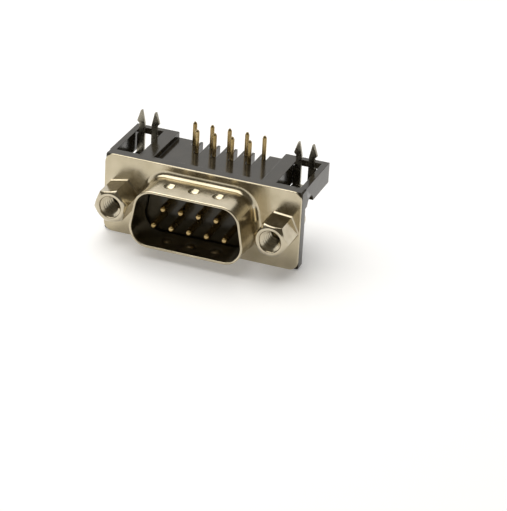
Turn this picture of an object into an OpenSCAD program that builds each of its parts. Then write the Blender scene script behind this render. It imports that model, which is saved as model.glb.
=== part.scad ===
// Right-angle D-sub plug, nine contacts in two rows, for mounting on a circuit board.
// Origin: middle of the flange's front face, halfway between the two screwlocks.
// +X is along the width, +Y is to the rear, +Z is towards the circuit board. The mating face looks along -Y.

/* [Flange] */
// Width of the metal flange
flange_w = 30.81; // [30:0.01:36]
// Height of the metal flange
flange_h = 12.55; // [12.2:0.01:14]
// Thickness of the shell's sheet metal
sheet_t = 0.4; // [0.3:0.05:0.5]
// Radius of the flange's corners
flange_r = 1.4; // [0.5:0.1:2]
// Distance from the flange's end to a screwlock's axis
screw_inset = 2.91; // [2.8:0.01:3.2]

/* [D-shaped shell] */
// Width of the flange beside the D at its widest
wing_w = 6.945; // [6.8:0.005:7.1]
// Inside height of the D
shell_h = 8.36; // [8:0.01:8.6]
// Inside corner radius of the D
shell_r = 2.6; // [2.2:0.1:2.8]
// Slope of the D's ends, in degrees
shell_slope = 10; // [8:1:12]
// How far the shell stands out in front of the flange
shell_reach = 6; // [5.5:0.1:6.5]
// Radius where the shell is drawn out of the flange
root_r = 0.9; // [0.6:0.1:1.1]
// Spacing of the contact dimples
dimple_pitch = 3.78; // [3:0.1:4.2]
// Depth of a contact dimple
dimple_depth = 0.4; // [0.2:0.05:0.5]
// Radius of the ball that presses a dimple
dimple_r = 1.25; // [0.8:0.05:1.4]
// Distance of the dimples in front of the flange
dimple_y = 2; // [1.8:0.1:3.5]

/* [Contacts] */
// Spacing of neighbouring contacts in a row
pitch = 2.77; // [2.7:0.01:2.8]
// Distance between the two rows at the mating face
row_gap = 2.84; // [2.7:0.01:3]
// Diameter of a mating pin
pin_d = 1.02; // [0.9:0.01:1.1]
// How far the pin tips stand in front of the flange
pin_reach = 4.8; // [4.2:0.1:5.4]
// Diameter of a contact's collar
collar_d = 1.6; // [1.4:0.1:1.8]
// Diameter of a solder tail
tail_d = 0.64; // [0.5:0.01:0.75]
// Distance of the first row of tails behind the flange's front
tail_y = 8.08; // [7.9:0.01:8.4]
// Distance between the two rows of tails
tail_gap = 2.54; // [2.4:0.01:2.84]
// How far the tails stand out past the board seat
tail_reach = 2.8; // [2:0.1:4]
// Inside radius of a tail's bend
bend_r = 0.6; // [0.4:0.1:0.8]

/* [Housing] */
// Height of the board seat above the middle of the D
seat_z = 6.2; // [6:0.05:6.6]
// Thickness of the housing's front plate
plate_t = 1.6; // [1.2:0.1:2]
// Depth of the housing from the flange's front to its rear edge
housing_depth = 12; // [11.8:0.1:12.8]
// Width of a bracket, from the housing's end to its middle part
bracket_w = 6.705; // [6.6:0.005:6.9]
// Depth of the block that holds the contacts
block_depth = 5.9; // [5.4:0.1:6]
// How far the block's underside stays above the flange's lower edge
block_lift = 0.25; // [0.2:0.05:0.8]
// Depth of the middle's top face below the board seat
middle_drop = 0.9; // [0.5:0.05:1.2]
// Thickness of the comb that guides the tails
comb_t = 2.3; // [1.8:0.1:2.8]
// Width of a comb slot
slot_w = 1; // [0.9:0.01:1.05]
// Height of a bracket arm
arm_h = 3.2; // [2.8:0.1:3.6]
// Thickness of a bracket's outer rail
rail_t = 0.95; // [0.8:0.05:1.1]
// Width of a bracket's channel
channel_w = 3.75; // [3.7:0.01:3.9]
// Thickness of a bracket's rear bar
bar_t = 0.9; // [0.7:0.05:1.2]
// Height of a bracket's rear bar
bar_h = 1; // [0.8:0.1:1.4]

/* [Board locks] */
// Thickness of the board locks' sheet metal
lock_t = 0.45; // [0.3:0.05:0.5]
// Width of the strap and of the fork's foot
strap_w = 3.5; // [3.2:0.1:3.6]
// Distance of the fork behind the flange's front
lock_y = 9.35; // [9.2:0.01:9.6]
// Distance between the tips of the two tines
tine_gap = 2.24; // [2:0.01:2.4]
// Width of the fork's slot
fork_slot = 1.1; // [0.9:0.1:1.2]
// Width across both barbs
barb_w = 3.6; // [3.5:0.1:3.9]
// How far the tines stand out past the board seat
tine_reach = 3.65; // [3:0.05:4.5]
// Thickness of the circuit board that the barbs catch behind
board_t = 1.6; // [1:0.1:1.8]
// Width of the strap's ear
ear_w = 5; // [4.8:0.1:5.2]

/* [Screwlocks] */
// Width across the screwlock's flats
hex_af = 4.75; // [4.5:0.01:4.8]
// Length of the screwlock's hexagon
hex_l = 4.65; // [4.2:0.05:5.4]
// Turn of the left screwlock, in degrees
turn_left = 12; // [-30:1:30]
// Turn of the right screwlock, in degrees
turn_right = -5; // [-30:1:30]
// Outside diameter of the screw thread
thread_d = 2.84; // [2.5:0.01:3]
// Diameter of the threaded hole through its crests
thread_bore_d = 2.3; // [2.1:0.01:2.4]
// Diameter of the countersink at the mouth of the threaded hole
mouth_d = 3.8; // [3.2:0.1:4]
// Depth of the threaded hole
thread_depth = 5.5; // [4.6:0.1:5.8]
// Length of the stud behind the flange's front
stud_l = 5.6; // [5:0.1:6]
// Outside diameter of the clinch nut
nut_d = 4.4; // [4.2:0.1:4.6]
// Length of the clinch nut's body
nut_l = 2.2; // [1.8:0.1:2.6]

/* [Clearances] */
// Play of a pin or a collar in the housing, on the radius
pin_play = 0.03; // [0.02:0.01:0.06]
// Play between the shell's inside and the insulator's nose
nose_play = 0.05; // [0.03:0.01:0.1]
// Play of a screwlock's stud in its clearance holes, on the radius
stud_play = 0.12; // [0.08:0.01:0.2]

/* [Hidden] */
overlap = 0.2;            // how far joined shapes run into each other
past = 1;                 // how far a cut runs past what it cuts
arc = 96;                 // facets that stand for a full circle
wide_row = 5;             // contacts on the D's wide side
screw_x = flange_w / 2 - screw_inset;
shell_w = flange_w - 2 * wing_w;                        // widest inside width of the D
half_h = shell_h / 2;
core_z = half_h - shell_r;                              // height of the D's corner centres
core_wide = shell_w / 2 - shell_r;                      // corner centres on the wide side, below
core_narrow = core_wide - 2 * core_z * tan(shell_slope); // and on the narrow side, above
plate_y = sheet_t + plate_t;                            // rear of the housing's front plate
block_y = plate_y + block_depth - plate_t;              // rear of the contact block
middle_z = seat_z - middle_drop;
arm_z = seat_z - arm_h;
arm_out = flange_w / 2;
arm_in = arm_out - bracket_w;
channel_out = arm_out - rail_t;
channel_in = channel_out - channel_w;
notch_r = 1.2;                                          // half-round notch under the outer rail
notch_y = plate_y + 2;
housing_r = 0.3;                                        // corners of the housing's front plate
ear_hole_r = nut_d / 2 - 0.4;
nose_y = -0.3;                                          // insulator's face inside the shell
collar_y = 2.4;                                         // front of the collar, on the counterbore's floor
collar_l = 1;
stud_hole_r = thread_d / 2 + stud_play;
wall_foot = 0.6;                                        // flange metal swept along with the D's wall
side_trim = 0.005;                                      // how far the sloping sides stand back
side_lap = 0.05;                                        // how far they run into the corners
lock_z = arm_z - 0.05;                                  // top of the strap, just under the bracket

// Points of the D outline, moved outwards by off. The first and last of each corner can be skipped.
function corner_x(k) = (k == 0 || k == 3 ? core_wide : core_narrow) * (k < 2 ? 1 : -1);
function corner_z(k) = core_z * (k == 0 || k == 3 ? -1 : 1);
function turn_from(k) = [-90, shell_slope, 90, 180 - shell_slope][k];
function turn_to(k) = [shell_slope, 90, 180 - shell_slope, 270][k];
function d_points(off, skip = 0, steps = 12) = [for (k = [0:3]) for (i = [skip:steps - skip])
    let (a = turn_from(k) + (turn_to(k) - turn_from(k)) * i / steps)
    [corner_x(k) + (shell_r + off) * cos(a), corner_z(k) + (shell_r + off) * sin(a)]];

// A D-shaped prism between two depths
module d_prism(off, y0, y1, skip = 0)
    translate([0, y1, 0]) rotate([90, 0, 0]) linear_extrude(y1 - y0) polygon(d_points(off, skip));

function arc_points(c, r, a0, a1, steps) =
    [for (i = [0:steps]) let (a = a0 + (a1 - a0) * i / steps) [c[0] + r * cos(a), c[1] + r * sin(a)]];

// Wall of the shell in section: flange, root, straight wall and rounded rim. Here x is the distance
// from a corner's centre and y is forwards. Each face stands back by trim.
module shell_wall(trim = 0) {
    mid = sheet_t + root_r;
    polygon(concat(
        [[shell_r + mid + wall_foot - trim, -trim]],
        arc_points([shell_r + mid, root_r], root_r + trim, 270, 180, 6),
        arc_points([shell_r + sheet_t / 2, shell_reach - sheet_t / 2], sheet_t / 2 - trim, 0, 180, 6),
        arc_points([shell_r + mid, root_r], mid - trim, 180, 270, 6),
        [[shell_r + mid + wall_foot - trim, trim - sheet_t]]));
}

// The wall all round the D, as two mirrored halves. The sloping sides are a hair thinner than the corners
// and run a little way into them, so no two curved edges have to match.
module d_wall() for (side = [0, 1]) mirror([side, 0, 0]) {
    translate([core_wide, 0, -core_z]) rotate([90, 0, 0]) rotate([0, 0, -90]) {
        rotate_extrude(angle = 90 + shell_slope, $fn = arc) shell_wall();
        rotate([90, 0, 0]) linear_extrude(core_wide) shell_wall();
    }
    translate([core_narrow, 0, core_z]) rotate([90, 0, 0]) {
        mirror([1, 0, 0]) rotate([0, 0, 90]) {
            rotate_extrude(angle = 90 - shell_slope, $fn = arc) shell_wall();
            rotate([90, 0, 0]) linear_extrude(core_narrow) shell_wall();
        }
        rotate([0, 0, shell_slope]) translate([0, side_lap, 0]) rotate([90, 0, 0])
            linear_extrude(2 * core_z / cos(shell_slope) + 2 * side_lap) shell_wall(side_trim);
    }
}

// A plate across the part between two depths, with rounded corners
module plate(w, h, r, y0, y1) {
    x = w / 2 - r;
    z = h / 2 - r;
    translate([0, y1, 0]) rotate([90, 0, 0]) linear_extrude(y1 - y0) polygon(concat(
        arc_points([x, z], r, 0, 90, 8), arc_points([-x, z], r, 90, 180, 8),
        arc_points([-x, -z], r, 180, 270, 8), arc_points([x, -z], r, 270, 360, 8)));
}

// A round hole or rod along the depth
module rod(x, z, r, y0, y1) translate([x, y1, z]) rotate([90, 0, 0]) cylinder(h = y1 - y0, r = r, $fn = 48);

module cone(x, z, r0, r1, y0, y1)
    translate([x, y0, z]) rotate([-90, 0, 0]) cylinder(h = y1 - y0, r1 = r0, r2 = r1, $fn = 48);

module block(x0, x1, y0, y1, z0, z1) translate([x0, y0, z0]) cube([x1 - x0, y1 - y0, z1 - z0]);

module both_sides() {
    children();
    mirror([1, 0, 0]) children();
}

// Places a ball at each contact dimple, on both long sides of the D
module dimple_balls() for (i = [-1:1], low = [0, 1]) mirror([0, 0, low])
    translate([i * dimple_pitch, -dimple_y, half_h + sheet_t + dimple_r - dimple_depth]) children();

module shell() color([0.77, 0.72, 0.61]) difference() {
    union() {
        d_wall();
        difference() {
            plate(flange_w, flange_h, flange_r, 0, sheet_t);
            d_prism(sheet_t + root_r + wall_foot / 2, -past, past, 1);
            both_sides() rod(screw_x, 0, stud_hole_r, -past, past);
        }
        intersection() {
            dimple_balls() sphere(r = dimple_r + sheet_t, $fn = 48);
            block(-core_narrow, core_narrow, sheet_t - shell_reach, 0,
                  -half_h - sheet_t / 2, half_h + sheet_t / 2);
        }
    }
    dimple_balls() sphere(r = dimple_r, $fn = 48);
}

function row_x(i, count) = (i - (count - 1) / 2) * pitch;
wide_xs = [for (i = [0:wide_row - 1]) row_x(i, wide_row)];
narrow_xs = [for (i = [0:wide_row - 2]) row_x(i, wide_row - 1)];

// Bores for one row of contacts: the pin's bore and the collar's counterbore
module contact_bores(xs, z) for (x = xs) {
    rod(x, z, pin_d / 2 + pin_play, nose_y - past, collar_y + overlap);
    rod(x, z, collar_d / 2 + pin_play, collar_y, block_y + past);
}

// Slots that run out at the comb's rear edge, with a round end in front of each tail
module comb_slots(xs, y) for (x = xs) {
    low = middle_z - comb_t - past;
    block(x - slot_w / 2, x + slot_w / 2, y, housing_depth + past, low, middle_z + past);
    translate([x, y, low]) cylinder(h = comb_t + 2 * past, d = slot_w, $fn = 32);
}

// One bracket: two rails, the channel between them and the rear bar
module bracket() difference() {
    block(arm_in - overlap, arm_out, plate_y - overlap, housing_depth, arm_z, seat_z);
    block(channel_in, channel_out, plate_y, housing_depth - bar_t, arm_z - past, seat_z + past);
    block(channel_in, channel_out, plate_y, housing_depth + past, arm_z - past, seat_z - bar_h);
    translate([channel_out - past, notch_y, arm_z]) rotate([0, 90, 0])
        cylinder(h = rail_t + 2 * past, r = notch_r, $fn = 48);
}

module housing() color([0.23, 0.22, 0.2]) difference() {
    union() {
        plate(flange_w, 2 * seat_z, housing_r, sheet_t, plate_y);
        d_prism(-nose_play, nose_y, plate_y);
        block(-arm_in, arm_in, plate_y - overlap, block_y, block_lift - flange_h / 2, middle_z);
        block(-arm_in, arm_in, block_y - overlap, housing_depth, middle_z - comb_t, middle_z);
        both_sides() bracket();
    }
    contact_bores(wide_xs, -row_gap / 2);
    contact_bores(narrow_xs, row_gap / 2);
    comb_slots(wide_xs, tail_y + tail_gap);
    comb_slots(narrow_xs, tail_y);
    both_sides() rod(screw_x, 0, stud_hole_r, 0, plate_y + past);
}

// One contact: mating pin, collar, rear wire, bend and solder tail
module contact(x, z, y) color([0.78, 0.6, 0.26]) translate([x, 0, z]) {
    tip = pin_d * 0.35;
    bend = bend_r + tail_d / 2;
    top = seat_z + tail_reach - z;
    translate([0, -pin_reach, 0]) rotate([-90, 0, 0]) rotate_extrude($fn = 48) polygon(concat(
        arc_points([pin_d / 2 - tip, tip], tip, 270, 360, 6),
        [[pin_d / 2, pin_reach + collar_y], [collar_d / 2, pin_reach + collar_y],
         [collar_d / 2, pin_reach + collar_y + collar_l], [0, pin_reach + collar_y + collar_l], [0, 0]]));
    rod(0, 0, tail_d / 2, collar_y + collar_l - overlap, y - bend);
    translate([0, y - bend, bend]) rotate([0, 90, 0])
        rotate_extrude(angle = 90, $fn = 64) translate([bend, 0]) circle(d = tail_d, $fn = 24);
    translate([0, y, bend]) cylinder(h = top - bend - tail_d / 2, d = tail_d, $fn = 24);
    translate([0, y, top - tail_d / 2]) cylinder(h = tail_d / 2, d1 = tail_d, d2 = tail_d / 2, $fn = 24);
}

// Outline of one fork tine, seen from the front: shank, barb and arrow tip
module tine() {
    step = 0.35;                               // how far a barb stands out
    point = 0.12;                              // half the width left at the tip
    barb_z = seat_z + board_t + 0.25;          // barbs clear the board's far face
    shank = barb_w / 2 - step;
    top = seat_z + tine_reach;
    polygon([[fork_slot / 2, lock_z - lock_t], [strap_w / 2, lock_z - lock_t], [strap_w / 2, seat_z - step],
             [shank, seat_z], [shank, barb_z - step], [barb_w / 2, barb_z], [tine_gap / 2 + point, top],
             [tine_gap / 2 - point, top], [fork_slot / 2, barb_z - step]]);
}

// One board lock, centred on its screw: ear behind the front plate, strap and fork
module board_lock(side) color([0.36, 0.35, 0.31]) translate([side * screw_x, 0, 0]) difference() {
    union() {
        translate([0, lock_y + lock_t / 2, 0]) rotate([90, 0, 0]) linear_extrude(lock_t) {
            tine();
            mirror([1, 0]) tine();
            translate([-strap_w / 2, lock_z - lock_t]) square([strap_w, lock_t]);
        }
        block(-strap_w / 2, strap_w / 2, plate_y, lock_y, lock_z - lock_t, lock_z);
        rod(0, 0, ear_w / 2, plate_y, plate_y + lock_t);
        block(-strap_w / 2, strap_w / 2, plate_y, plate_y + lock_t, 0, lock_z);
    }
    rod(0, 0, ear_hole_r, plate_y - past, plate_y + lock_t + past);
}

// Round nut pressed into the board lock's ear, tapped for the screwlock's stud
module clinch_nut(side) color([0.6, 0.57, 0.5]) difference() {
    union() {
        rod(side * screw_x, 0, ear_hole_r, plate_y, plate_y + lock_t + overlap);
        rod(side * screw_x, 0, nut_d / 2, plate_y + lock_t, plate_y + lock_t + nut_l);
    }
    rod(side * screw_x, 0, thread_d / 2, plate_y - past, plate_y + lock_t + nut_l + past);
}

// Female screwlock: chamfered hexagon, threaded hole with a countersunk mouth, and the stud behind
module screwlock(side, turn) color([0.72, 0.66, 0.53]) translate([side * screw_x, 0, 0]) difference() {
    bevel = 1.2;                               // length of the cone that rounds off the hexagon
    rise = 0.05;                               // the mouth's cone starts this far outside
    union() {
        intersection() {
            rotate([90, 0, 0]) rotate([0, 0, turn]) cylinder(h = hex_l, d = hex_af / cos(30), $fn = 6);
            union() {
                rod(0, 0, hex_af, bevel - hex_l, past);
                cone(0, 0, hex_af / 2 - 0.1, hex_af / 2 + bevel - 0.1, -hex_l, bevel - hex_l);
            }
        }
        rod(0, 0, thread_d / 2, -overlap, stud_l);
    }
    rod(0, 0, thread_bore_d / 2, -hex_l - past, thread_depth - hex_l);
    cone(0, 0, mouth_d / 2 + rise, thread_bore_d / 2, -hex_l - rise, (mouth_d - thread_bore_d) / 2 - hex_l);
}

// Contacts are counted along the wide row from +X to -X, then along the narrow row
module numbered_contact(k) {
    wide = k <= wide_row;
    place = wide ? wide_row - k : 2 * wide_row - 1 - k;
    contact(wide ? wide_xs[place] : narrow_xs[place], row_gap / 2 * (wide ? -1 : 1),
            tail_y + (wide ? tail_gap : 0));
}

shell();
housing();
numbered_contact(1);  // contact_1
numbered_contact(2);  // contact_2
numbered_contact(3);  // contact_3
numbered_contact(4);  // contact_4
numbered_contact(5);  // contact_5
numbered_contact(6);  // contact_6
numbered_contact(7);  // contact_7
numbered_contact(8);  // contact_8
numbered_contact(9);  // contact_9
board_lock(-1);  // board_lock_left
board_lock(1);  // board_lock_right
clinch_nut(-1);  // clinch_nut_left
clinch_nut(1);  // clinch_nut_right
screwlock(-1, turn_left);  // screwlock_left
screwlock(1, turn_right);  // screwlock_right
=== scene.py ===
import math

import bpy
from mathutils import Matrix, Vector


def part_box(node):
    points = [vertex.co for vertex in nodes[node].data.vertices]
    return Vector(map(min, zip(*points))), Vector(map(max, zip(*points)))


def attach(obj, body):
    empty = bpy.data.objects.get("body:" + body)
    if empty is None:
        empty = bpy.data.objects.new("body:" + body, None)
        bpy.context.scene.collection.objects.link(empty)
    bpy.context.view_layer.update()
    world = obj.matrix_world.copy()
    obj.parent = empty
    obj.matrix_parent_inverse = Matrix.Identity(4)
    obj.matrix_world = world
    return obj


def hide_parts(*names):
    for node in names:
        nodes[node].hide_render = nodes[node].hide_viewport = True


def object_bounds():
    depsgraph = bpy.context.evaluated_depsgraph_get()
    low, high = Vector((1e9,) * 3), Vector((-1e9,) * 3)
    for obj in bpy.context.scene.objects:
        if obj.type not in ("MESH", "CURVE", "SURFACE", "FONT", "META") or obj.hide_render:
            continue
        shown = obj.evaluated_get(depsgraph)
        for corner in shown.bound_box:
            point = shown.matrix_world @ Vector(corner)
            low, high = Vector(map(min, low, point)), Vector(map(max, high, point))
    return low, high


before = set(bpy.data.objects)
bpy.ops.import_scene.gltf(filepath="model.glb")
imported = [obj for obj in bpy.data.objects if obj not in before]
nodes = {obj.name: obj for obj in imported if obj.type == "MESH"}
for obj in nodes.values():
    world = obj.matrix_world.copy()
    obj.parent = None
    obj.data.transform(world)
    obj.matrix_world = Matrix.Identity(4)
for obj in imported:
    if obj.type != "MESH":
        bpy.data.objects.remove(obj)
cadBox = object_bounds()
mm = 0.001
bpy.context.scene.view_settings.view_transform = "Standard"


# materials

noise = {"mottleDetail": 6, "darkBelow": 0.32, "lightAbove": 0.68, "smudgeDetail": 8, "cleanBelow": 0.3,
         "dullAbove": 0.7, "grainDetail": 4, "bumpDepth": 0.02 * mm}


def newMaterial(name):
    material = bpy.data.materials.new(name)
    material.use_nodes = True
    return material, material.node_tree.nodes, material.node_tree.links


def surfaceFinish(name, look):
    # two tones mottled by noise, a roughness that wanders, and a fine bump, all on Object coordinates
    material, shaderNodes, links = newMaterial(name)
    shader = shaderNodes["Principled BSDF"]
    shader.inputs["Metallic"].default_value = look["metallic"]
    shader.inputs["Specular Tint"].default_value = (*look.get("sheen", (1, 1, 1)), 1)
    shader.inputs["IOR"].default_value = look.get("ior", 1.5)
    place = shaderNodes.new("ShaderNodeTexCoord")

    mottle = shaderNodes.new("ShaderNodeTexNoise")
    mottle.inputs["Scale"].default_value = look["mottleScale"]
    mottle.inputs["Detail"].default_value = noise["mottleDetail"]
    links.new(place.outputs["Object"], mottle.inputs["Vector"])
    tones = shaderNodes.new("ShaderNodeValToRGB")
    tones.color_ramp.elements[0].position = noise["darkBelow"]
    tones.color_ramp.elements[0].color = look["dark"] + (1,)
    tones.color_ramp.elements[1].position = noise["lightAbove"]
    tones.color_ramp.elements[1].color = look["light"] + (1,)
    links.new(mottle.outputs["Fac"], tones.inputs["Fac"])
    links.new(tones.outputs["Color"], shader.inputs["Base Color"])

    smudge = shaderNodes.new("ShaderNodeTexNoise")
    smudge.inputs["Scale"].default_value = look["smudgeScale"]
    smudge.inputs["Detail"].default_value = noise["smudgeDetail"]
    links.new(place.outputs["Object"], smudge.inputs["Vector"])
    sheen = shaderNodes.new("ShaderNodeMapRange")
    sheen.inputs["From Min"].default_value = noise["cleanBelow"]
    sheen.inputs["From Max"].default_value = noise["dullAbove"]
    sheen.inputs["To Min"].default_value = look["roughness"][0]
    sheen.inputs["To Max"].default_value = look["roughness"][1]
    links.new(smudge.outputs["Fac"], sheen.inputs["Value"])
    links.new(sheen.outputs["Result"], shader.inputs["Roughness"])

    grain = shaderNodes.new("ShaderNodeTexNoise")
    grain.inputs["Scale"].default_value = look["grainScale"]
    grain.inputs["Detail"].default_value = noise["grainDetail"]
    links.new(place.outputs["Object"], grain.inputs["Vector"])
    bump = shaderNodes.new("ShaderNodeBump")
    bump.inputs["Strength"].default_value = look["bump"]
    bump.inputs["Distance"].default_value = noise["bumpDepth"]
    links.new(grain.outputs["Fac"], bump.inputs["Height"])
    links.new(bump.outputs["Normal"], shader.inputs["Normal"])
    return material


finishes = {
    "nickelShell": dict(metallic=1.0, dark=(0.47, 0.41, 0.285), light=(0.60, 0.53, 0.39), mottleScale=260,
                        smudgeScale=700, roughness=(0.17, 0.27), grainScale=5200, bump=0.12),
    "nickelBright": dict(metallic=1.0, dark=(0.46, 0.40, 0.29), light=(0.60, 0.54, 0.41), mottleScale=420,
                         smudgeScale=900, roughness=(0.12, 0.24), grainScale=6000, bump=0.12),
    "blackPlastic": dict(metallic=0.0, dark=(0.019, 0.0155, 0.0095), light=(0.032, 0.0265, 0.0175),
                         mottleScale=500, smudgeScale=1100, roughness=(0.1, 0.2), grainScale=9000, bump=0.12,
                         sheen=(1, 0.96, 0.87), ior=1.44),
    "contactGold": dict(metallic=1.0, dark=(0.31, 0.22, 0.085), light=(0.47, 0.35, 0.17), mottleScale=600,
                        smudgeScale=1400, roughness=(0.14, 0.28), grainScale=8000, bump=0.12),
    "tinnedSteel": dict(metallic=1.0, dark=(0.24, 0.22, 0.175), light=(0.38, 0.355, 0.285), mottleScale=500,
                        smudgeScale=1200, roughness=(0.2, 0.38), grainScale=7000, bump=0.15),
}
materials = {name: surfaceFinish(name, look) for name, look in finishes.items()}
print("materials made:", len(materials))


# camera

view = {"azimuth": 19.405, "elevation": 27.10, "roll": 3.255, "aside": -7.718 * mm, "up": 6.403 * mm,
        "distance": 365.55 * mm, "focalPixels": 2500, "frameWidth": 507, "sensorWidth": 36, "clipStart": 0.01,
        "clipEnd": 20}


def addCamera(v):
    a, e, r = (math.radians(v[k]) for k in ("azimuth", "elevation", "roll"))
    back = Vector((math.sin(a) * math.cos(e), -math.cos(a) * math.cos(e), math.sin(e)))
    right = Vector((math.cos(a), math.sin(a), 0))
    up = back.cross(right)
    right, up = right * math.cos(r) + up * math.sin(r), up * math.cos(r) - right * math.sin(r)
    eye = back * v["distance"] - right * v["aside"] - up * v["up"]
    bpy.ops.object.select_all(action="DESELECT")
    bpy.ops.object.camera_add()
    camera = bpy.context.object
    turn = Matrix((right, up, back)).transposed().to_4x4()
    camera.matrix_world = Matrix.Translation(eye) @ turn
    camera.data.sensor_fit = "HORIZONTAL"
    camera.data.sensor_width = v["sensorWidth"]
    camera.data.lens = v["focalPixels"] * v["sensorWidth"] / v["frameWidth"]
    camera.data.clip_start = v["clipStart"]
    camera.data.clip_end = v["clipEnd"]
    bpy.context.scene.camera = camera


addCamera(view)
print("camera placed")


# floor, world and lamp

stage = {"floorSize": 3.0, "floorTone": 0.86, "floorRoughness": 0.9, "floorGlow": 0.2, "horizonTop": 0.3,
         "horizonFade": 0.12, "cardPlace": (-0.3, 0.74, 0.62), "cardEdge": 0.84, "cardCore": 0.9,
         "dim": (0.115, 0.105, 0.085),
         "keyPower": 2.5, "keySize": 0.58, "keyPlace": (-0.15, 0.06, 0.41), "warmth": (1.0, 0.985, 0.96)}


def addFloor():
    low = cadBox[0][2]
    bpy.ops.object.select_all(action="DESELECT")
    bpy.ops.mesh.primitive_plane_add(size=stage["floorSize"], location=(0, 0, low))
    floor = bpy.context.object
    floor.name = "floor"
    bpy.ops.object.transform_apply(location=True)
    material, shaderNodes, links = newMaterial("floorWhite")
    shader = shaderNodes["Principled BSDF"]
    shader.inputs["Base Color"].default_value = (stage["floorTone"],) * 3 + (1,)
    shader.inputs["Roughness"].default_value = stage["floorRoughness"]
    shader.inputs["Specular IOR Level"].default_value = 0.0
    glow = shaderNodes.new("ShaderNodeEmission")
    rays = shaderNodes.new("ShaderNodeLightPath")
    seen = shaderNodes.new("ShaderNodeMath")
    seen.operation = "MAXIMUM"
    links.new(rays.outputs["Is Camera Ray"], seen.inputs[0])
    links.new(rays.outputs["Is Glossy Ray"], seen.inputs[1])
    level = shaderNodes.new("ShaderNodeMath")
    level.operation = "MULTIPLY"
    level.inputs[1].default_value = stage["floorGlow"]
    links.new(seen.outputs[0], level.inputs[0])
    links.new(level.outputs[0], glow.inputs["Strength"])
    both = shaderNodes.new("ShaderNodeAddShader")
    links.new(shader.outputs["BSDF"], both.inputs[0])
    links.new(glow.outputs["Emission"], both.inputs[1])
    links.new(both.outputs["Shader"], shaderNodes["Material Output"].inputs["Surface"])
    floor.data.materials.append(material)


def addWorld():
    # white low down and on one side behind, dim overhead, as in a small studio with one backdrop card
    world = bpy.data.worlds.new("softStudio")
    bpy.context.scene.world = world
    world.use_nodes = True
    shaderNodes, links = world.node_tree.nodes, world.node_tree.links
    sky = shaderNodes["Background"]
    rays = shaderNodes.new("ShaderNodeLightPath")
    place = shaderNodes.new("ShaderNodeTexCoord")
    parts = shaderNodes.new("ShaderNodeSeparateXYZ")
    links.new(place.outputs["Generated"], parts.inputs["Vector"])
    low = shaderNodes.new("ShaderNodeMapRange")
    low.interpolation_type = "SMOOTHSTEP"
    low.inputs["From Min"].default_value = stage["horizonTop"]
    low.inputs["From Max"].default_value = stage["horizonTop"] - stage["horizonFade"]
    links.new(parts.outputs["Z"], low.inputs["Value"])
    toward = shaderNodes.new("ShaderNodeVectorMath")
    toward.operation = "DOT_PRODUCT"
    toward.inputs[1].default_value = Vector(stage["cardPlace"]).normalized()
    links.new(place.outputs["Generated"], toward.inputs[0])
    card = shaderNodes.new("ShaderNodeMapRange")
    card.interpolation_type = "SMOOTHSTEP"
    card.inputs["From Min"].default_value = stage["cardEdge"]
    card.inputs["From Max"].default_value = stage["cardCore"]
    links.new(toward.outputs["Value"], card.inputs["Value"])
    both = shaderNodes.new("ShaderNodeMath")
    both.operation = "MAXIMUM"
    links.new(low.outputs["Result"], both.inputs[0])
    links.new(card.outputs["Result"], both.inputs[1])
    shown = shaderNodes.new("ShaderNodeMath")
    shown.operation = "MAXIMUM"
    links.new(both.outputs[0], shown.inputs[0])
    links.new(rays.outputs["Is Camera Ray"], shown.inputs[1])
    tone = shaderNodes.new("ShaderNodeValToRGB")
    tone.color_ramp.elements[0].color = stage["dim"] + (1,)
    tone.color_ramp.elements[1].color = (1, 1, 1, 1)
    links.new(shown.outputs[0], tone.inputs["Fac"])
    links.new(tone.outputs["Color"], sky.inputs["Color"])


def addLamp(name, place, size, power, tone):
    bpy.ops.object.select_all(action="DESELECT")
    bpy.ops.object.light_add(type="AREA", location=place)
    lamp = bpy.context.object
    lamp.name = name
    lamp.data.size = size
    lamp.data.energy = power
    lamp.data.color = tone
    lamp.rotation_euler = Vector(place).to_track_quat("Z", "Y").to_euler()


addFloor()
addWorld()
addLamp("keyLamp", stage["keyPlace"], stage["keySize"], stage["keyPower"], stage["warmth"])
print("stage lit")


# working copies of the frame's nodes, and the edits they share

finishOf = {"shell": "nickelShell", "housing": "blackPlastic", "contact": "contactGold",
            "board_lock": "tinnedSteel", "clinch_nut": "nickelBright", "screwlock": "nickelBright"}
merging = {"distance": 0.0005 * mm, "flatAngle": 0.5}


def kindOf(name):
    return next(kind for kind in finishOf if name.startswith(kind))


def namesOf(kind):
    return [name for name in nodes if kindOf(name) == kind]


def middleX(name):
    return (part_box(name)[0][0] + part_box(name)[1][0]) / 2 / mm


def workOn(piece):
    bpy.ops.object.select_all(action="DESELECT")
    piece.select_set(True)
    bpy.context.view_layer.objects.active = piece


def mergedCopy(name, wholeFaces=False):
    # a copy of a frame node with its loose triangles merged and, if asked, its flat faces made whole
    piece = bpy.data.objects.new(name + "Piece", nodes[name].data.copy())
    bpy.context.collection.objects.link(piece)
    workOn(piece)
    bpy.ops.mesh.customdata_custom_splitnormals_clear()
    bpy.ops.object.mode_set(mode="EDIT")
    bpy.ops.mesh.select_all(action="SELECT")
    bpy.ops.mesh.remove_doubles(threshold=merging["distance"])
    if wholeFaces:
        bpy.ops.mesh.dissolve_limited(angle_limit=math.radians(merging["flatAngle"]))
    bpy.ops.object.mode_set(mode="OBJECT")
    return piece


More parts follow.
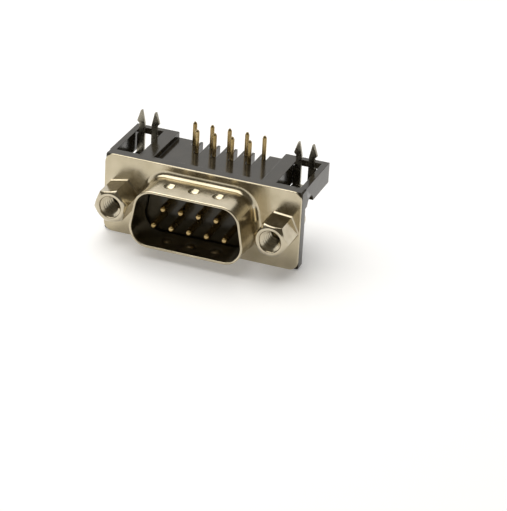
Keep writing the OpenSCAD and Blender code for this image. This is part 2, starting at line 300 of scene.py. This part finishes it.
def bevelWhere(piece, test, width, segments, sharpAngle=None):
    # rounds the edges whose two ends, in millimetres, meet a test, or with an angle only the sharp ones of them
    workOn(piece)
    bpy.ops.object.mode_set(mode="EDIT")
    bpy.ops.mesh.select_mode(type="EDGE")
    bpy.ops.mesh.select_all(action="DESELECT")
    if sharpAngle:
        bpy.ops.mesh.edges_select_sharp(sharpness=math.radians(sharpAngle))
    bpy.ops.object.mode_set(mode="OBJECT")
    points = [v.co / mm for v in piece.data.vertices]
    for edge in piece.data.edges:
        edge.select = (edge.select or not sharpAngle) and test(*(points[i] for i in edge.vertices))
    bpy.ops.object.mode_set(mode="EDIT")
    bpy.ops.mesh.bevel(offset=width * mm, segments=segments, profile=0.5, affect="EDGES")
    bpy.ops.object.mode_set(mode="OBJECT")


def bevelSharp(piece, width, segments, angle):
    # rounds every edge sharper than an angle
    workOn(piece)
    bevel = piece.modifiers.new("softEdges", "BEVEL")
    bevel.width = width * mm
    bevel.segments = segments
    bevel.limit_method = "ANGLE"
    bevel.angle_limit = math.radians(angle)
    bevel.use_clamp_overlap = False
    bpy.ops.object.modifier_apply(modifier=bevel.name)


def finishPiece(piece, name, smoothAngle):
    # rounded edges shade smoothly and the flat faces between them stay flat
    workOn(piece)
    bpy.ops.object.shade_smooth_by_angle(angle=math.radians(smoothAngle))
    flatten = piece.modifiers.new("flatFaces", "WEIGHTED_NORMAL")
    flatten.weight = 100
    flatten.keep_sharp = True
    bpy.ops.object.modifier_apply(modifier=flatten.name)
    piece.data.materials.clear()
    piece.data.materials.append(materials[finishOf[kindOf(name)]])
    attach(piece, "root")
    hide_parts(name)


# drawn metal shell: the sheet's cut edge is rounded all round the flange

shellLook = {"edgeRound": 0.12, "edgeSteps": 3, "cornerRadius": 1.4, "sheet": 0.4, "outlineReach": 0.01,
             "arcReach": 0.02, "faceReach": 0.004, "dimplePitch": 3.78, "dimpleAt": 2, "dimpleTo": 3.1,
             "dimpleReach": 1.08, "wallLow": 3.6, "smoothAngle": 40}


def makeShell():
    piece = mergedCopy("shell", wholeFaces=True)
    v = shellLook
    high = Vector(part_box("shell")[1]) / mm
    r = v["cornerRadius"]

    # the contact dimples move forward to the middle of the wall
    for vertex in piece.data.vertices:
        x, y, z = vertex.co / mm
        nearest = min((-1, 0, 1), key=lambda i: abs(x - i * v["dimplePitch"])) * v["dimplePitch"]
        if math.hypot(x - nearest, y + v["dimpleAt"]) < v["dimpleReach"] and abs(z) > v["wallLow"]:
            vertex.co.y -= (v["dimpleTo"] - v["dimpleAt"]) * mm

    def onOutline(p):
        x, z = abs(p.x), abs(p.z)
        fromArc = abs(math.hypot(x - high.x + r, z - high.z + r) - r)
        onArc = x > high.x - r and z > high.z - r and fromArc < v["arcReach"]
        return onArc or abs(x - high.x) < v["outlineReach"] or abs(z - high.z) < v["outlineReach"]

    for side in (0, v["sheet"]):
        def onRim(a, b):
            return all(abs(p.y - side) < v["faceReach"] and onOutline(p) for p in (a, b))

        bevelWhere(piece, onRim, v["edgeRound"], v["edgeSteps"])
    finishPiece(piece, "shell", v["smoothAngle"])


makeShell()
print("shell made")


# moulded housing: its edges are slightly rounded, apart from bores and slots

housingLook = {"edgeRound": 0.07, "edgeSteps": 2, "slotReach": 0.58, "stepAt": 1.8, "stepReach": 0.36,
               "stepDepth": 0.05, "sharpAngle": 35}


def makeHousing():
    piece = mergedCopy("housing")
    v = housingLook
    high = Vector(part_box("housing")[1]) / mm
    centres = [middleX(name) for name in namesOf("contact")]

    def atStep(p):
        # the small step where a bracket meets the front plate's round corner
        atCorner = abs(p.x) > high.x - v["stepReach"] and p.z > high.z - v["stepReach"]
        return atCorner and abs(p.y - v["stepAt"]) < v["stepDepth"]

    def rounded(a, b):
        atContact = any(max(abs(a.x - x), abs(b.x - x)) < v["slotReach"] for x in centres)
        return not atContact and not (atStep(a) and atStep(b))

    bevelWhere(piece, rounded, v["edgeRound"], v["edgeSteps"], v["sharpAngle"])
    finishPiece(piece, "housing", v["sharpAngle"])


makeHousing()
print("housing made")


# contacts, with the mating end drawn out to a bullet nose

contactLook = {"tipDepth": 0.36, "tipStretch": 1.9, "smoothAngle": 35}


def makeContact(name):
    piece = mergedCopy(name)
    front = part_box(name)[0][1] / mm
    for vertex in piece.data.vertices:
        depth = vertex.co.y / mm - front
        if depth < contactLook["tipDepth"]:
            vertex.co.y = (front + depth * contactLook["tipStretch"]) * mm
    finishPiece(piece, name, contactLook["smoothAngle"])


for name in namesOf("contact"):
    makeContact(name)
print("contacts made")


# stamped board locks: the sheet is folded round real bends and has broken edges

lockLook = {"strapLow": 2.5, "bendReach": 0.01, "bendRound": 0.5, "bendSteps": 5, "edgeRound": 0.045,
            "edgeSteps": 2, "sharpAngle": 40}


def makeLock(name):
    piece = mergedCopy(name)
    v = lockLook
    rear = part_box(name)[1][1] / mm

    def onBend(a, b):
        return all(max(abs(p.y - rear), abs(p.z - v["strapLow"])) < v["bendReach"] for p in (a, b))

    bevelWhere(piece, onBend, v["bendRound"], v["bendSteps"])
    bevelSharp(piece, v["edgeRound"], v["edgeSteps"], v["sharpAngle"])
    finishPiece(piece, name, v["sharpAngle"])


for name in namesOf("board_lock"):
    makeLock(name)
print("board locks made")


# threads

thread = {"pitch": 0.635, "crest": 1.24, "root": 1.64, "studRoot": 1.42, "studCore": 1.2, "steps": 28,
          "baseShare": 0.44, "tipShare": 0.07, "sunk": 0.03}


def threadCoil(axisX, startY, turns, inner, outer, inward):
    # one closed ridge wound round the depth axis: a four-cornered profile carried round by a Screw modifier
    p = thread["pitch"]
    wide, narrow = thread["baseShare"] * p, thread["tipShare"] * p
    base, tip = (outer + thread["sunk"], inner) if inward else (inner - thread["sunk"], outer)
    bpy.ops.object.select_all(action="DESELECT")
    bpy.ops.mesh.primitive_plane_add(size=2, rotation=(math.pi / 2, 0, 0), location=(0, 0, 0))
    ridge = bpy.context.object
    bpy.ops.object.transform_apply(rotation=True)
    corners = sorted(ridge.data.vertices, key=lambda v: math.atan2(v.co.z, v.co.x))
    for v, (radius, height) in zip(corners, ((base, -wide), (tip, -narrow), (tip, narrow), (base, wide))):
        v.co = Vector((radius, 0, height)) * mm
    workOn(ridge)
    bpy.ops.object.mode_set(mode="EDIT")
    bpy.ops.mesh.select_all(action="SELECT")
    bpy.ops.mesh.delete(type="ONLY_FACE")
    bpy.ops.object.mode_set(mode="OBJECT")
    wind = ridge.modifiers.new("wind", "SCREW")
    wind.axis = "Z"
    wind.angle = 2 * math.pi
    wind.screw_offset = p * mm
    wind.iterations = turns
    wind.steps = thread["steps"]
    wind.render_steps = thread["steps"]
    bpy.ops.object.modifier_apply(modifier=wind.name)
    bpy.ops.object.mode_set(mode="EDIT")
    bpy.ops.mesh.select_mode(type="EDGE")
    bpy.ops.mesh.select_all(action="DESELECT")
    bpy.ops.mesh.select_non_manifold()
    bpy.ops.mesh.fill()
    bpy.ops.mesh.select_all(action="SELECT")
    bpy.ops.mesh.normals_make_consistent(inside=False)
    bpy.ops.object.mode_set(mode="OBJECT")
    ridge.rotation_euler = (-math.pi / 2, 0, 0)
    ridge.location = (axisX * mm, startY * mm, 0)
    bpy.ops.object.transform_apply(location=True, rotation=True)
    return ridge


# screwlocks turned from hexagonal bar: chamfered at both ends, with a flared foot, a threaded hole and a stud

hexLook = {"flats": 4.75, "blankShare": 0.7, "frontRing": 2.12, "frontChamfer": 0.55, "rearRing": 2.42,
           "rearChamfer": 0.16, "mouth": 1.78, "mouthDepth": 0.14, "mouthRise": 0.2, "holeDepth": 5.5,
           "drillDepth": 0.6, "drillEnd": 0.3, "holeSides": 64, "threadStart": 0.34, "threadStop": 1.2,
           "studStart": -0.02, "studEnd": 0.3, "studThreadStart": 0.5, "studThreadStop": 0.6, "footReach": 0.17,
           "footDepth": 0.26, "footSunk": 0.01, "edgeRound": 0.05, "edgeSteps": 2, "sharpAngle": 20,
           "studAngle": 30, "smoothAngle": 32, "turn": {"screwlock_left": 12, "screwlock_right": -5}}


def lathe(axisX, rings, sides=96, turn=30):
    # a turned solid: a disc at the first ring is extruded from ring to ring, each given as depth and radius
    bpy.ops.object.select_all(action="DESELECT")
    bpy.ops.mesh.primitive_circle_add(vertices=sides, radius=rings[0][1] * mm, fill_type="NGON",
                                      location=(axisX * mm, rings[0][0] * mm, 0),
                                      rotation=(math.pi / 2, math.radians(30 - turn), 0))
    piece = bpy.context.object
    bpy.ops.object.transform_apply(location=True, rotation=True)
    bpy.ops.object.mode_set(mode="EDIT")
    bpy.ops.mesh.select_mode(type="FACE")
    bpy.ops.mesh.select_all(action="SELECT")
    for (y0, r0), (y1, r1) in zip(rings, rings[1:]):
        bpy.ops.mesh.extrude_region_move(TRANSFORM_OT_translate={"value": (0, (y1 - y0) * mm, 0)})
        bpy.ops.transform.resize(value=(r1 / r0, 1, r1 / r0), center_override=(axisX * mm, y1 * mm, 0))
    bpy.ops.mesh.select_all(action="SELECT")
    bpy.ops.mesh.normals_make_consistent(inside=False)
    bpy.ops.object.mode_set(mode="OBJECT")
    return piece


def carve(piece, tool, operation):
    # combines a piece with a tool solid, which is then removed
    workOn(piece)
    cut = piece.modifiers.new("carve", "BOOLEAN")
    cut.operation = operation
    cut.solver = "EXACT"
    cut.object = tool
    bpy.ops.object.modifier_apply(modifier=cut.name)
    bpy.data.objects.remove(tool, do_unlink=True)


def makeScrewlock(name):
    v = hexLook
    low, high = (Vector(c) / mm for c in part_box(name))
    x0, front, back = (low.x + high.x) / 2, low.y, high.y
    corner = v["flats"] / 2 / math.cos(math.pi / 6)
    piece = lathe(x0, [(front, corner), (0, corner)], 6, v["turn"][name])
    footRings = [(-v["footDepth"], corner - v["footSunk"]), (0, corner + v["footReach"])]
    foot = lathe(x0, footRings, 6, v["turn"][name])

    wide = v["flats"] * v["blankShare"]
    slope = (wide - v["frontRing"]) * v["frontChamfer"] / (corner - v["frontRing"])
    blank = lathe(x0, [(front, v["frontRing"]), (front + slope, wide), (-v["rearChamfer"], wide),
                       (0, v["rearRing"])])
    carve(piece, blank, "INTERSECT")
    end = front + v["holeDepth"]
    hole = lathe(x0, [(front - v["mouthRise"], v["mouth"] + v["mouthRise"]),
                      (front + v["mouthDepth"], thread["root"]), (end, thread["root"]),
                      (end + v["drillDepth"], v["drillEnd"])], v["holeSides"])
    carve(piece, hole, "DIFFERENCE")
    bevelSharp(piece, v["edgeRound"], v["edgeSteps"], v["sharpAngle"])

    core = thread["studCore"]
    stud = lathe(x0, [(v["studStart"], core), (back - v["studEnd"], core), (back, core - v["studEnd"])],
                 v["holeSides"])
    bevelSharp(stud, v["edgeRound"], v["edgeSteps"], v["studAngle"])
    turnsIn = int((v["holeDepth"] - v["threadStop"]) / thread["pitch"])
    turnsOut = int((back - v["studThreadStop"]) / thread["pitch"])
    ridgeIn = threadCoil(x0, front + v["threadStart"], turnsIn, thread["crest"], thread["root"], True)
    ridgeOut = threadCoil(x0, v["studThreadStart"], turnsOut, core, thread["studRoot"], False)
    bpy.ops.object.select_all(action="DESELECT")
    for part in (ridgeIn, ridgeOut, stud, foot, piece):
        part.select_set(True)
    bpy.context.view_layer.objects.active = piece
    bpy.ops.object.join()
    piece.name = name + "Piece"
    finishPiece(piece, name, v["smoothAngle"])


for name in namesOf("screwlock"):
    makeScrewlock(name)
print("screwlocks made")


# clinch nuts

nutLook = {"edgeRound": 0.15, "edgeSteps": 3, "sharpAngle": 40, "smoothAngle": 35}


def makeNut(name):
    piece = mergedCopy(name)
    bevelSharp(piece, nutLook["edgeRound"], nutLook["edgeSteps"], nutLook["sharpAngle"])
    finishPiece(piece, name, nutLook["smoothAngle"])


for name in namesOf("clinch_nut"):
    makeNut(name)
print("nuts made")
